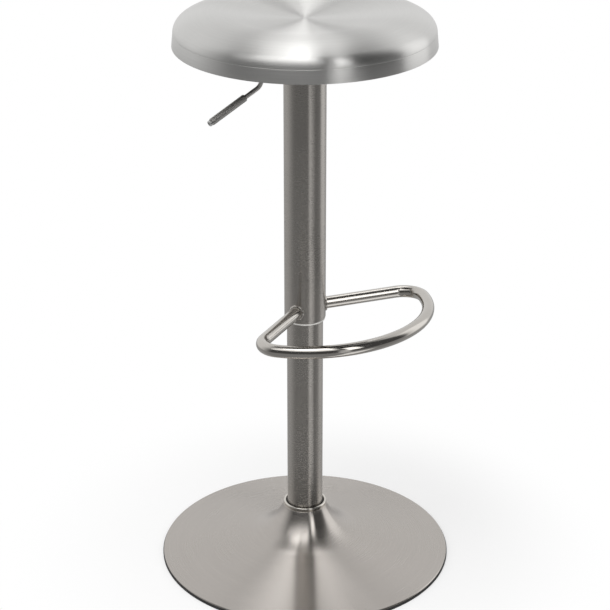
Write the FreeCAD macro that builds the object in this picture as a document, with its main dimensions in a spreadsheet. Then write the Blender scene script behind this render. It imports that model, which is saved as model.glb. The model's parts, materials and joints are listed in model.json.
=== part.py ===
import FreeCAD, Part
import math
import os

import Sketcher

# Height-adjustable seat stool: a dished round seat on a gas lift, with a footrest bar
# welded to the sleeve that rises and turns with the seat, over a tube on a trumpet base.
# Lengths in millimetres, angles in degrees. Z is up, the floor is at Z = 0, the post's
# centre line is the Z axis, the sitter faces -Y and the height lever points to -X.
# The stool is drawn raised to its full height.

FULL_TURN = 360
HEXAGON_SIDES = 6

DIMENSIONS = {
    # base
    "base_radius": 205,
    "sheet_wall": 1.5,
    "rim_height": 6,
    "rim_lip": 3,
    "rim_roll": 2,
    "neck_radius": 31,
    "neck_height": 75,
    "neck_sweep": 68,
    "neck_spread": 80,
    "neck_foot_height": 31.5,
    "floor_ring_width": 7,
    "floor_ring_proud": 0.8,
    "floor_ring_curb": 0.5,
    "hub_wall": 4,
    "hub_foot_height": 14,
    "hub_head_height": 56,
    "gusset_count": 4,
    "gusset_thickness": 3,
    "gusset_height": 11,
    "ballast_outer_radius": 165,
    "ballast_inner_radius": 96,
    "ballast_foot_height": 7.5,
    "stud_circle": 136,
    "stud_count": 4,
    "stud_radius": 4,
    "stud_washer_radius": 9,
    "stud_washer_thickness": 1.6,
    "stud_nut_across": 13,
    "stud_nut_height": 4,
    "stud_tail": 0.8,
    # trim where the tube enters the base
    "collar_radius": 30.4,
    "collar_height": 5.5,
    "collar_round": 1.6,
    "seal_radius": 27,
    "seal_height": 3.5,
    "trim_clearance": 0.1,
    # stand tube and its bearings
    "tube_radius": 25,
    "tube_wall": 1.5,
    "taper_head_radius": 19.5,
    "taper_foot_radius": 18.7,
    "swage_length": 8,
    "end_plate_thickness": 4,
    "guide_length": 80,
    "guide_lip": 2,
    "guide_lip_width": 0.75,
    "race_thickness": 2.5,
    "race_radius": 14,
    "ball_radius": 2,
    "ball_circle": 9.5,
    "ball_count": 8,
    "ball_clearance": 0.15,
    "cage_thickness": 2,
    "cage_inner_radius": 6.2,
    "cage_outer_radius": 12.8,
    # gas lift
    "rod_radius": 5,
    "rod_end_radius": 4,
    "rod_tail": 6,
    "groove_radius": 3.2,
    "clip_thickness": 1.2,
    "clip_radius": 7,
    "rod_washer_radius": 9,
    "rod_washer_thickness": 1.5,
    "bump_stop_radius": 11,
    "bump_stop_height": 28,
    "piston_height": 12,
    "piston_seal_height": 4,
    "piston_seal_depth": 1.5,
    "lift_stroke": 210,
    "travel_reserve": 135,
    "cylinder_radius": 14,
    "cylinder_wall": 1.5,
    "cylinder_taper_length": 34,
    "cylinder_taper_drop": 0.7,
    "cylinder_head_height": 40,
    "cylinder_stub": 2,
    "guide_overhang": 20,
    "gland_height": 10,
    "gland_gap": 2,
    "valve_height": 22,
    "release_pin_radius": 2,
    "release_head_radius": 3,
    "release_head_height": 3.5,
    "release_depth": 12,
    "release_travel": 3,
    "running_clearance": 0.06,
    "free_clearance": 0.4,
    # sleeve and footrest
    "sleeve_radius": 28.5,
    "sleeve_wall": 1.5,
    "sleeve_overlap": 131.6,
    "sleeve_length": 369.6,
    "sleeve_end_round": 3,
    "sleeve_end_land": 0.5,
    "bush_length": 30,
    "bush_lip": 2,
    "cap_thickness": 5,
    "cap_screw_circle": 22.6,
    "cap_screw_count": 3,
    "cap_screw_radius": 1.5,
    "cap_screw_head_radius": 2.8,
    "cap_screw_head_height": 2.2,
    "footrest_rise": 16.1,
    "footrest_tilt": 4,
    "footrest_bar_radius": 8.4,
    "footrest_reach": 177.2,
    "footrest_front_radius": 150.6,
    "footrest_corner_radius": 30.4,
    "footrest_arm_angle": 65.5,
    "weld_radius": 2.2,
    # mechanism under the seat
    "socket_radius": 18,
    "socket_rise": 12,
    "box_depth": 39.5,
    "box_length": 90,
    "box_width": 70,
    "box_wall": 2.5,
    "plate_inset": 12,
    "seat_bolt_inset": 12,
    "seat_bolt_count": 4,
    "seat_bolt_angle": 45,
    "seat_bolt_radius": 3,
    "seat_bolt_head_radius": 5.4,
    "seat_bolt_head_height": 3.6,
    "seat_washer_radius": 7,
    "seat_washer_thickness": 1.2,
    "weld_nut_across": 11,
    "weld_nut_height": 5,
    "pivot_reach": 32,
    "pivot_pin_radius": 2,
    "pivot_pin_proud": 0.6,
    "pivot_boss_radius": 4.5,
    "pivot_boss_length": 8,
    "pivot_ear_thickness": 2,
    "pivot_ear_radius": 6,
    "lever_slot_height": 11,
    "lever_slot_width": 9,
    # lever
    "lever_rod_radius": 3,
    "lever_elbow_reach": 51,
    "lever_drop_angle": 66,
    "lever_elbow_radius": 9,
    "lever_knee_radius": 12,
    "lever_grip_angle": 20.5,
    "lever_tip_reach": 157.3,
    "lever_tip_drop": 76.6,
    "grip_radius": 4.8,
    "grip_length": 58,
    "grip_round": 0.8,
    "end_cap_radius": 4,
    "end_cap_length": 5,
    "end_cap_round": 1.2,
    "end_cap_hole_radius": 1.8,
    "end_cap_hole_depth": 2.5,
    # seat
    "seat_radius": 173.6,
    "seat_skirt_height": 18,
    "seat_skirt_draft": 1.8,
    "seat_edge_radius": 18,
    "seat_brow_radius": 82,
    "seat_brow_angle": 30,
    "seat_dish_depth": 9.2,
    "seat_centre_flat": 3,
    "seat_dish_shoulder": 150,
    "seat_wall": 1.5,
    "seat_crest_rise": 23.7,
    "pan_wall": 2,
    "pan_lean": 0.7,
    "pan_flank_run": 9.8,
    "pan_rim_width": 8,
    "pan_gap": 0.3,
}


class Size:
    """A length or an angle: its value, and the sheet expression that it follows."""

    def __init__(self, value, text):
        self.value = value
        self.text = text

    def combine(self, other, value, sign):
        return Size(value, "(%s %s %s)" % (self.text, sign, as_size(other).text))

    def __add__(self, other):
        return self.combine(other, self.value + as_size(other).value, "+")

    def __radd__(self, other):
        return as_size(other) + self

    def __sub__(self, other):
        return self.combine(other, self.value - as_size(other).value, "-")

    def __rsub__(self, other):
        return as_size(other) - self

    def __mul__(self, other):
        return self.combine(other, self.value * as_size(other).value, "*")

    def __rmul__(self, other):
        return as_size(other) * self

    def __truediv__(self, other):
        return self.combine(other, self.value / as_size(other).value, "/")

    def __neg__(self):
        return 0 - self


def as_size(number):
    if isinstance(number, Size):
        return number
    return Size(float(number), repr(float(number)))


def sine(angle):
    return Size(math.sin(math.radians(angle.value)), "sin(%s)" % angle.text)


def cosine(angle):
    return Size(math.cos(math.radians(angle.value)), "cos(%s)" % angle.text)


def root(number):
    return Size(math.sqrt(number.value), "sqrt(%s)" % number.text)


def fill_sheet(doc):
    """Puts every driving dimension into the sheet under its own alias."""
    sheet = doc.addObject("Spreadsheet::Sheet", "sizes")
    for row, (alias, value) in enumerate(DIMENSIONS.items(), start=1):
        sheet.set("A%d" % row, alias)
        sheet.set("B%d" % row, str(value))
        sheet.setAlias("B%d" % row, alias)
    doc.recompute()
    return {alias: Size(float(sheet.get(alias)), "sizes." + alias) for alias in DIMENSIONS}


class Stool:
    """The document, its sheet values, and the places that several pieces share."""

    def __init__(self):
        self.doc = FreeCAD.newDocument("stool")
        self.nodes = []
        for alias, size in fill_sheet(self.doc).items():
            setattr(self, alias, size)
        self.place_base()
        self.place_lift()
        self.place_seat()

    def place_base(self):
        self.end_plate_foot = self.hub_foot_height
        self.end_plate_head = self.end_plate_foot + self.end_plate_thickness
        self.tube_inner = self.tube_radius - self.tube_wall
        self.taper_drop = self.taper_head_radius - self.taper_foot_radius
        self.swage_head = self.hub_head_height + self.swage_length
        self.collar_foot = self.neck_height
        self.trim_bore = self.tube_radius + self.trim_clearance
        self.rim_run = self.base_radius - self.rim_roll
        self.skirt_fall = (self.neck_foot_height - self.rim_height) / (self.rim_run - self.neck_spread)
        self.skirt_length = root(self.skirt_fall * self.skirt_fall + 1)
        self.lower_race_head = self.end_plate_head + self.race_thickness
        self.ball_height = self.lower_race_head + self.ball_clearance + self.ball_radius
        self.upper_race_foot = self.ball_height + self.ball_radius + self.ball_clearance
        self.upper_race_head = self.upper_race_foot + self.race_thickness
        self.bearing_bore = self.rod_end_radius + self.free_clearance

    def place_lift(self):
        self.bump_stop_head = self.upper_race_head + self.bump_stop_height
        self.cylinder_foot = self.bump_stop_head + self.lift_stroke + self.travel_reserve
        self.stand_top = self.cylinder_foot + self.guide_overhang + self.guide_length
        self.guide_foot = self.stand_top - self.guide_length
        self.sleeve_foot = self.stand_top - self.sleeve_overlap
        self.sleeve_top = self.sleeve_foot + self.sleeve_length
        self.sleeve_bore = self.sleeve_radius - self.sleeve_wall
        self.socket_head = self.sleeve_top + self.socket_rise
        self.taper_foot = self.socket_head - self.cylinder_taper_length
        self.cylinder_tip = self.cylinder_radius - self.cylinder_taper_drop
        self.cylinder_top = self.socket_head + self.cylinder_stub
        self.cylinder_bore = self.cylinder_radius - self.cylinder_wall
        self.cavity_top = self.cylinder_top - self.cylinder_head_height
        self.gland_head = self.cylinder_foot + self.gland_height
        self.piston_foot = self.gland_head + self.gland_gap
        self.piston_head = self.piston_foot + self.piston_height

    def place_seat(self):
        self.box_foot = self.sleeve_top
        self.plate_top = self.box_foot + self.box_depth
        self.plate_foot = self.plate_top - self.box_wall
        self.release_foot = self.cavity_top - self.release_depth
        self.button_foot = self.cylinder_top + self.release_travel + self.free_clearance
        self.button_top = self.button_foot + self.release_head_height
        self.lever_height = self.button_top + self.free_clearance + self.lever_rod_radius
        self.box_floor = self.box_foot + self.box_wall
        self.pan_head = self.plate_top + self.pan_wall
        self.seat_crest = self.plate_top + self.seat_crest_rise
        self.through = self.seat_crest * 2
        self.brow_run = self.seat_brow_radius * sine(self.seat_brow_angle)
        self.brow_fall = self.seat_brow_radius * (1 - cosine(self.seat_brow_angle))
        edge_run = self.seat_edge_radius * (1 - sine(self.seat_brow_angle))
        edge_fall = self.seat_edge_radius * cosine(self.seat_brow_angle)
        self.skirt_head = self.seat_crest - self.brow_fall - edge_fall
        self.skirt_foot = self.skirt_head - self.seat_skirt_height
        self.crest_radius = self.seat_radius - self.seat_skirt_draft - self.brow_run - edge_run
        self.pan_floor_radius = self.crest_radius - self.pan_rim_width - self.pan_flank_run
        self.seat_bolt_circle = self.pan_floor_radius - self.seat_bolt_inset
        self.bolt_across = self.seat_bolt_circle * cosine(self.seat_bolt_angle)
        self.bolt_up = self.seat_bolt_circle * sine(self.seat_bolt_angle)
        self.plate_side = (self.seat_bolt_circle - self.plate_inset) * 2
        self.seat_centre = self.seat_crest - self.seat_dish_depth
        self.footrest_height = self.sleeve_foot + self.footrest_rise

    def body(self, name):
        """A new sub-part that the sheet drives."""
        body = self.doc.addObject("PartDesign::Body", name)
        body.Label = name
        self.nodes.append(body)
        return body

    def keep(self, shape_object, name):
        """Takes a boolean or a compound into the list of sub-parts."""
        shape_object.Label = name
        self.nodes.append(shape_object)
        return shape_object


def plane(body, role):
    return next(item for item in body.Origin.OriginFeatures if item.Role == role)


def sketch_on(body, role, name):
    sketch = body.newObject("Sketcher::SketchObject", name)
    sketch.AttachmentSupport = (plane(body, role), [""])
    sketch.MapMode = "FlatFace"
    return sketch


def bind(sketch, kind, *items):
    """Adds a constraint whose last item is a Size, and binds it to the sheet."""
    *places, size = items
    index = sketch.addConstraint(Sketcher.Constraint(kind, *places, size.value))
    sketch.setExpression("Constraints[%d]" % index, size.text)


def fix_point(sketch, edge, end, across, up):
    """Holds one end of an edge at its two distances from the sketch's origin."""
    for kind, size in (("DistanceX", across), ("DistanceY", up)):
        if size.value == 0:
            axis = -2 if kind == "DistanceX" else -1
            sketch.addConstraint(Sketcher.Constraint("PointOnObject", edge, end, axis))
        else:
            bind(sketch, kind, -1, 1, edge, end, size)


def arc_between(start, finish, radius, bulge):
    """A short arc, drawn anticlockwise, that bulges to the left (1) or right (-1) of its way."""
    chord = finish - start
    half = chord.Length / 2
    side = FreeCAD.Vector(-chord.y, chord.x, 0).normalize() * bulge
    centre = start + chord / 2 - side * math.sqrt(max(radius * radius - half * half, 0))
    first, last = (start, finish) if bulge < 0 else (finish, start)
    first_angle = math.atan2(first.y - centre.y, first.x - centre.x)
    last_angle = math.atan2(last.y - centre.y, last.x - centre.x)
    if last_angle < first_angle:
        last_angle += 2 * math.pi
    return Part.ArcOfCircle(Part.Circle(centre, FreeCAD.Vector(0, 0, 1), radius), first_angle, last_angle)


def outline(sketch, points, closed=True):
    """Edges through points: each is (across, up) or (across, up, radius, bulge of the edge after it)."""
    places = [(as_size(point[0]), as_size(point[1])) for point in points]
    corners = [FreeCAD.Vector(across.value, up.value, 0) for across, up in places]
    edges = points if closed else points[:-1]
    first_ends = []
    for number, point in enumerate(edges):
        start = corners[number]
        finish = corners[(number + 1) % len(corners)]
        if len(point) > 2:
            curve = arc_between(start, finish, point[2].value, point[3])
        else:
            curve = Part.LineSegment(start, finish)
        sketch.addGeometry(curve, False)
        first_ends.append(2 if len(point) > 2 and point[3] > 0 else 1)
    for number, point in enumerate(edges):
        fix_point(sketch, number, first_ends[number], *places[number])
        if number + 1 < len(edges) or closed:
            following = (number + 1) % len(edges)
            last_end = 3 - first_ends[number]
            sketch.addConstraint(
                Sketcher.Constraint("Coincident", number, last_end, following, first_ends[following])
            )
        else:
            fix_point(sketch, number, 3 - first_ends[number], *places[-1])
        if len(point) > 2:
            bind(sketch, "Radius", number, point[2])


def turned(stool, name, points, ring_radius=None):
    """A sub-part revolved from one closed outline, about the Z axis or a line beside it."""
    body = stool.body(name)
    sketch = sketch_on(body, "XZ_Plane", name + "_outline")
    if ring_radius is not None:
        points = [(as_size(point[0]) + ring_radius, *point[1:]) for point in points]
    outline(sketch, points)
    revolution = body.newObject("PartDesign::Revolution", name + "_turned")
    revolution.Profile = sketch
    revolution.ReferenceAxis = (sketch, ["V_Axis"])
    if ring_radius is not None:
        low = as_size(points[0][1])
        high = as_size(points[2][1])
        line = Part.LineSegment(
            FreeCAD.Vector(ring_radius.value, low.value, 0),
            FreeCAD.Vector(ring_radius.value, high.value, 0),
        )
        axis = sketch.addGeometry(line, True)
        sketch.addConstraint(Sketcher.Constraint("Vertical", axis))
        fix_point(sketch, axis, 1, ring_radius, low)
        bind(sketch, "DistanceY", -1, 1, axis, 2, high)
        revolution.ReferenceAxis = (sketch, ["Axis0"])
    revolution.Angle = FULL_TURN
    body.Tip = revolution
    return body


def repeat(body, count):
    """Repeats a sub-part's last feature evenly about the Z axis."""
    pattern = body.newObject("PartDesign::PolarPattern", body.Name + "_ring")
    pattern.Originals = [body.Tip]
    axis = next(item for item in body.Origin.OriginFeatures if item.Role == "Z_Axis")
    pattern.Axis = (axis, [""])
    pattern.Angle = FULL_TURN
    pattern.Occurrences = int(count.value)
    pattern.setExpression("Occurrences", count.text)
    body.Tip = pattern


def turn_about_post(body, angle):
    body.Placement = FreeCAD.Placement(
        FreeCAD.Vector(0, 0, 0), FreeCAD.Rotation(FreeCAD.Vector(0, 0, 1), angle.value)
    )
    body.setExpression("Placement.Rotation.Angle", angle.text)


def ring(stool, name, inner, outer, foot, head, ring_radius=None):
    """A plain ring or disc of rectangular section."""
    points = [(inner, foot), (outer, foot), (outer, head), (inner, head)]
    return turned(stool, name, points, ring_radius)


def pad(body, sketch, name, length, reverse=False):
    feature = body.newObject("PartDesign::Pad", name)
    feature.Profile = sketch
    feature.Length = length.value
    feature.setExpression("Length", length.text)
    feature.Reversed = reverse
    body.Tip = feature
    return feature


def pocket(body, sketch, name, length, both_ways=False, reverse=False):
    feature = body.newObject("PartDesign::Pocket", name)
    feature.Profile = sketch
    feature.Length = length.value
    feature.setExpression("Length", length.text)
    feature.Midplane = both_ways
    feature.Reversed = reverse
    body.Tip = feature
    return feature


def lift_sketch(sketch, height):
    """Moves a sketch along its plane's normal."""
    sketch.AttachmentOffset = FreeCAD.Placement(
        FreeCAD.Vector(0, 0, height.value), FreeCAD.Rotation(0, 0, 0)
    )
    sketch.setExpression("AttachmentOffset.Base.z", height.text)


def rectangle(sketch, half_length, half_width, middle=0):
    middle = as_size(middle)
    left = middle - half_length
    right = middle + half_length
    outline(sketch, [
        (left, -half_width), (right, -half_width), (right, half_width), (left, half_width),
    ])


def circle(sketch, across, up, radius):
    across = as_size(across)
    up = as_size(up)
    centre = FreeCAD.Vector(across.value, up.value, 0)
    edge = sketch.addGeometry(Part.Circle(centre, FreeCAD.Vector(0, 0, 1), radius.value), False)
    fix_point(sketch, edge, 3, across, up)
    bind(sketch, "Radius", edge, radius)


def primitive(stool, kind, name, sizes, base):
    """A Part primitive with its sizes and its place bound to the sheet."""
    item = stool.doc.addObject(kind, name)
    for prop, size in sizes.items():
        setattr(item, prop, size.value)
        item.setExpression(prop, size.text)
    item.Placement.Base = FreeCAD.Vector(*(as_size(value).value for value in base))
    for axis, value in zip("xyz", base):
        if as_size(value).value:
            item.setExpression("Placement.Base." + axis, as_size(value).text)
    return item


def cut(stool, name, base, tool):
    result = stool.doc.addObject("Part::Cut", name)
    result.Base = base
    result.Tool = tool
    return result


def hexagon_ring(stool, name, across, bore, height, foot, ring_radius, count, first_angle):
    """Hexagon nuts, evenly round the post."""
    nuts = []
    for number in range(int(count.value)):
        angle = as_size(first_angle) + as_size(number) * FULL_TURN / count
        place = (ring_radius * cosine(angle), ring_radius * sine(angle), foot)
        corner = across / 2 / cosine(as_size(FULL_TURN / HEXAGON_SIDES / 2))
        sizes = {"Circumradius": corner, "Height": height}
        blank = primitive(stool, "Part::Prism", "%s_blank_%d" % (name, number), sizes, place)
        blank.Polygon = HEXAGON_SIDES
        sizes = {"Radius": bore, "Height": height}
        hole = primitive(stool, "Part::Cylinder", "%s_hole_%d" % (name, number), sizes, place)
        nuts.append(cut(stool, "%s_%d" % (name, number), blank, hole))
    group = stool.doc.addObject("Part::Compound", name)
    group.Links = nuts
    return stool.keep(group, name)


# base

def skirt_underside(stool, radius):
    """Height of the inner face of the base's sloping skirt at a radius."""
    outside = stool.rim_height + (stool.rim_run - radius) * stool.skirt_fall
    return outside - stool.sheet_wall * stool.skirt_length


def base_shell(stool):
    wall = stool.sheet_wall
    lean = wall * stool.skirt_fall / stool.skirt_length
    drop = wall / stool.skirt_length
    rim = stool.base_radius
    turned(stool, "base_shell", [
        (stool.neck_radius, stool.neck_height, stool.neck_sweep, -1),
        (stool.neck_spread, stool.neck_foot_height),
        (stool.rim_run, stool.rim_height, stool.rim_roll, 1),
        (rim, stool.rim_height - stool.rim_roll),
        (rim, stool.rim_lip),
        (rim - wall, stool.rim_lip),
        (rim - wall, skirt_underside(stool, rim - wall)),
        (stool.neck_spread - lean, stool.neck_foot_height - drop, stool.neck_sweep + wall, 1),
        (stool.neck_radius - wall, stool.neck_height),
    ])


def floor_ring(stool):
    outer = stool.base_radius + stool.floor_ring_proud
    inner = outer - stool.floor_ring_width
    seat = stool.rim_lip
    inside = stool.base_radius - stool.sheet_wall
    curb = seat + stool.floor_ring_curb
    turned(stool, "floor_ring", [
        (inner, 0), (outer, 0), (outer, seat), (inside, seat), (inside, curb), (inner, curb),
    ])


def base_hub(stool):
    foot = stool.hub_foot_height
    head = stool.hub_head_height
    outer = stool.taper_head_radius + stool.hub_wall
    turned(stool, "base_hub", [
        (stool.taper_foot_radius, foot), (outer, foot), (outer, head), (stool.taper_head_radius, head),
    ])


def hub_gussets(stool):
    """Flat plates on edge between the hub and the ballast ring."""
    body = stool.body("hub_gussets")
    sketch = sketch_on(body, "XY_Plane", "gusset_outline")
    near = stool.taper_head_radius + stool.hub_wall
    far = stool.ballast_inner_radius
    rectangle(sketch, (far - near) / 2, stool.gusset_thickness / 2, (near + far) / 2)
    lift_sketch(sketch, stool.hub_foot_height)
    pad(body, sketch, "gusset_plate", stool.gusset_height)
    repeat(body, stool.gusset_count)


def ballast_ring(stool):
    inner = stool.ballast_inner_radius
    outer = stool.ballast_outer_radius
    foot = stool.ballast_foot_height
    body = turned(stool, "ballast_ring", [
        (inner, foot), (outer, foot),
        (outer, skirt_underside(stool, outer)), (inner, skirt_underside(stool, inner)),
    ])
    sketch = sketch_on(body, "XY_Plane", "stud_hole")
    circle(sketch, stool.stud_circle, 0, stool.stud_radius + stool.trim_clearance)
    pocket(body, sketch, "stud_bore", stool.through, both_ways=True)
    repeat(body, stool.stud_count)


def ballast_fasteners(stool):
    washer_foot = stool.ballast_foot_height - stool.stud_washer_thickness
    nut_foot = washer_foot - stool.stud_nut_height
    circle_radius = stool.stud_circle
    stud_head = skirt_underside(stool, circle_radius + stool.stud_radius)
    studs = ring(stool, "ballast_studs", 0, stool.stud_radius, nut_foot - stool.stud_tail,
                 stud_head, circle_radius)
    repeat(studs, stool.stud_count)
    washers = ring(stool, "ballast_washers", stool.stud_radius, stool.stud_washer_radius,
                   washer_foot, stool.ballast_foot_height, circle_radius)
    repeat(washers, stool.stud_count)
    hexagon_ring(stool, "ballast_nuts", stool.stud_nut_across, stool.stud_radius,
                 stool.stud_nut_height, nut_foot, circle_radius, stool.stud_count, 0)


def neck_trim(stool):
    """Polished collar on the mouth of the base, with a dark seal between it and the tube."""
    bore = stool.seal_radius
    foot = stool.collar_foot
    ring(stool, "collar_seal", stool.trim_bore, bore, foot, foot + stool.seal_height)
    head = foot + stool.collar_height
    shoulder = stool.collar_round
    turned(stool, "collar_ring", [
        (bore, foot), (stool.collar_radius, foot),
        (stool.collar_radius, head - shoulder, shoulder, -1),
        (stool.collar_radius - shoulder, head), (bore + shoulder, head, shoulder, -1),
        (bore, head - shoulder),
    ])


# stand tube

def stand_tube(stool):
    foot = stool.hub_foot_height
    waist = stool.hub_head_height
    wall = stool.tube_wall
    turned(stool, "stand_tube", [
        (stool.taper_foot_radius - wall, foot), (stool.taper_foot_radius, foot),
        (stool.taper_head_radius, waist), (stool.tube_radius, stool.swage_head),
        (stool.tube_radius, stool.stand_top), (stool.tube_inner, stool.stand_top),
        (stool.tube_inner, stool.swage_head), (stool.taper_head_radius - wall, waist),
    ])


def stand_fittings(stool):
    ring(stool, "tube_end_plate", stool.bearing_bore, stool.taper_foot_radius - stool.tube_wall,
         stool.end_plate_foot, stool.end_plate_head)
    ring(stool, "lower_race", stool.bearing_bore, stool.race_radius,
         stool.end_plate_head, stool.lower_race_head)
    slide = stool.cylinder_radius + stool.running_clearance
    lip_head = stool.stand_top + stool.guide_lip
    lip_radius = stool.tube_inner + stool.guide_lip_width
    turned(stool, "cylinder_guide", [
        (slide, stool.guide_foot), (stool.tube_inner, stool.guide_foot),
        (stool.tube_inner, stool.stand_top), (lip_radius, stool.stand_top),
        (lip_radius, lip_head), (slide, lip_head),
    ])


# what turns with the rod but does not rise

def piston_rod(stool):
    groove = stool.groove_radius
    clip_head = stool.end_plate_foot - stool.free_clearance - stool.rod_washer_thickness
    clip_foot = clip_head - stool.clip_thickness
    foot = stool.end_plate_foot - stool.rod_tail
    turned(stool, "piston_rod", [
        (0, foot), (stool.rod_end_radius, foot), (stool.rod_end_radius, clip_foot),
        (groove, clip_foot), (groove, clip_head), (stool.rod_end_radius, clip_head),
        (stool.rod_end_radius, stool.upper_race_head), (stool.rod_radius, stool.upper_race_head),
        (stool.rod_radius, stool.piston_head), (0, stool.piston_head),
    ])
    ring(stool, "rod_washer", stool.rod_end_radius, stool.rod_washer_radius,
         clip_head, clip_head + stool.rod_washer_thickness)
    ring(stool, "rod_clip", groove, stool.clip_radius, clip_foot, clip_head)


def bearing(stool):
    ring(stool, "upper_race", stool.rod_end_radius, stool.race_radius,
         stool.upper_race_foot, stool.upper_race_head)
    ring(stool, "bump_stop", stool.rod_radius, stool.bump_stop_radius,
         stool.upper_race_head, stool.bump_stop_head)
    half_cage = stool.cage_thickness / 2
    cage = ring(stool, "ball_cage", stool.cage_inner_radius, stool.cage_outer_radius,
                stool.ball_height - half_cage, stool.ball_height + half_cage)
    sketch = sketch_on(cage, "XY_Plane", "ball_pocket_outline")
    circle(sketch, stool.ball_circle, 0, stool.ball_radius + stool.ball_clearance)
    pocket(cage, sketch, "ball_pocket", stool.through, both_ways=True)
    repeat(cage, stool.ball_count)
    balls = stool.body("thrust_balls")
    sketch = sketch_on(balls, "XZ_Plane", "ball_outline")
    ball_sketch(sketch, stool.ball_circle, stool.ball_height, stool.ball_radius)
    revolution = balls.newObject("PartDesign::Revolution", "ball")
    revolution.Profile = sketch
    revolution.ReferenceAxis = (sketch, ["Axis0"])
    revolution.Angle = FULL_TURN
    balls.Tip = revolution
    repeat(balls, stool.ball_count)


def ball_sketch(sketch, across, up, radius):
    """Half a disc and the line that it is turned about."""
    centre = FreeCAD.Vector(across.value, up.value, 0)
    round_edge = Part.ArcOfCircle(
        Part.Circle(centre, FreeCAD.Vector(0, 0, 1), radius.value), -math.pi / 2, math.pi / 2
    )
    arc = sketch.addGeometry(round_edge, False)
    low = centre - FreeCAD.Vector(0, radius.value, 0)
    high = centre + FreeCAD.Vector(0, radius.value, 0)
    chord = sketch.addGeometry(Part.LineSegment(high, low), False)
    axis = sketch.addGeometry(Part.LineSegment(low, high), True)
    sketch.addConstraint(Sketcher.Constraint("Coincident", arc, 2, chord, 1))
    sketch.addConstraint(Sketcher.Constraint("Coincident", arc, 1, chord, 2))
    sketch.addConstraint(Sketcher.Constraint("Coincident", axis, 1, chord, 2))
    sketch.addConstraint(Sketcher.Constraint("Coincident", axis, 2, chord, 1))
    sketch.addConstraint(Sketcher.Constraint("Vertical", chord))
    sketch.addConstraint(Sketcher.Constraint("PointOnObject", arc, 3, chord))
    fix_point(sketch, arc, 3, across, up)
    bind(sketch, "Radius", arc, radius)


def piston(stool):
    """Piston with a groove for its seal, closely fitting the cylinder."""
    outer = stool.cylinder_bore - stool.running_clearance
    land = (stool.piston_height - stool.piston_seal_height) / 2
    seal_foot = stool.piston_foot + land
    seal_head = stool.piston_head - land
    floor = outer - stool.piston_seal_depth
    bore = stool.rod_radius
    turned(stool, "piston", [
        (bore, stool.piston_foot), (outer, stool.piston_foot), (outer, seal_foot), (floor, seal_foot),
        (floor, seal_head), (outer, seal_head), (outer, stool.piston_head), (bore, stool.piston_head),
    ])
    ring(stool, "piston_seal", floor, outer, seal_foot, seal_head)


# gas lift and sleeve, which rise and turn with the seat

def gas_cylinder(stool):
    """Closed tube whose tapered head wedges into the socket under the seat."""
    vent = stool.release_pin_radius + stool.free_clearance
    turned(stool, "gas_cylinder", [
        (stool.cylinder_bore, stool.cylinder_foot), (stool.cylinder_radius, stool.cylinder_foot),
        (stool.cylinder_radius, stool.taper_foot), (stool.cylinder_tip, stool.socket_head),
        (stool.cylinder_tip, stool.cylinder_top), (vent, stool.cylinder_top),
        (vent, stool.cavity_top), (stool.cylinder_bore, stool.cavity_top),
    ])
    ring(stool, "cylinder_gland", stool.rod_radius + stool.running_clearance, stool.cylinder_bore,
         stool.cylinder_foot, stool.gland_head)
    ring(stool, "valve_body", vent, stool.cylinder_bore,
         stool.cavity_top - stool.valve_height, stool.cavity_top)


def release_pin(stool):
    pin = stool.release_pin_radius
    turned(stool, "release_pin", [
        (0, stool.release_foot), (pin, stool.release_foot), (pin, stool.button_foot),
        (stool.release_head_radius, stool.button_foot), (stool.release_head_radius, stool.button_top),
        (0, stool.button_top),
    ])


def sleeve(stool):
    bore = stool.sleeve_bore
    outer = stool.sleeve_radius
    rounding = stool.sleeve_end_round
    foot = stool.sleeve_foot
    turned(stool, "sleeve", [
        (bore, foot), (bore + stool.sleeve_end_land, foot, rounding, -1),
        (outer, foot + rounding), (outer, stool.sleeve_top), (bore, stool.sleeve_top),
    ])


def sleeve_bush(stool):
    """Pale plastic bush at the sleeve's foot, with a lip below it that shows."""
    slide = stool.tube_radius + stool.running_clearance
    lip_foot = stool.sleeve_foot - stool.bush_lip
    lip = stool.sleeve_bore + stool.sleeve_end_land
    turned(stool, "sleeve_bush", [
        (slide, lip_foot), (lip, lip_foot), (lip, stool.sleeve_foot),
        (stool.sleeve_bore, stool.sleeve_foot), (stool.sleeve_bore, stool.sleeve_foot + stool.bush_length),
        (slide, stool.sleeve_foot + stool.bush_length),
    ])


def sleeve_cap(stool):
    """Ring welded in the sleeve's top and screwed up to the mechanism box."""
    foot = stool.sleeve_top - stool.cap_thickness
    cap = ring(stool, "sleeve_cap", stool.socket_radius, stool.sleeve_bore, foot, stool.sleeve_top)
    sketch = sketch_on(cap, "XY_Plane", "cap_screw_hole")
    circle(sketch, stool.cap_screw_circle, 0, stool.cap_screw_radius + stool.trim_clearance)
    pocket(cap, sketch, "cap_screw_bore", stool.through, both_ways=True)
    repeat(cap, stool.cap_screw_count)
    head_foot = foot - stool.cap_screw_head_height
    screws = turned(stool, "cap_screws", [
        (0, head_foot), (stool.cap_screw_head_radius, head_foot), (stool.cap_screw_head_radius, foot),
        (stool.cap_screw_radius, foot), (stool.cap_screw_radius, stool.box_foot + stool.box_wall),
        (0, stool.box_foot + stool.box_wall),
    ], stool.cap_screw_circle)
    repeat(screws, stool.cap_screw_count)


# footrest

def footrest_places(stool):
    """Length of the bar's straight arm, the corner's centre at its foot and the front arc's centre."""
    lean = stool.footrest_arm_angle
    corner = stool.footrest_corner_radius
    front_centre = stool.footrest_front_radius - stool.footrest_reach
    base_across = -corner * cosine(lean)
    base_up = -corner * sine(lean)
    gap = stool.footrest_front_radius - corner
    up_off = base_up - front_centre
    along = -(base_across * sine(lean) - up_off * cosine(lean))
    rest = base_across * base_across + up_off * up_off - gap * gap
    run = along + root(along * along - rest)
    return run, base_across, base_up, front_centre


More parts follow.
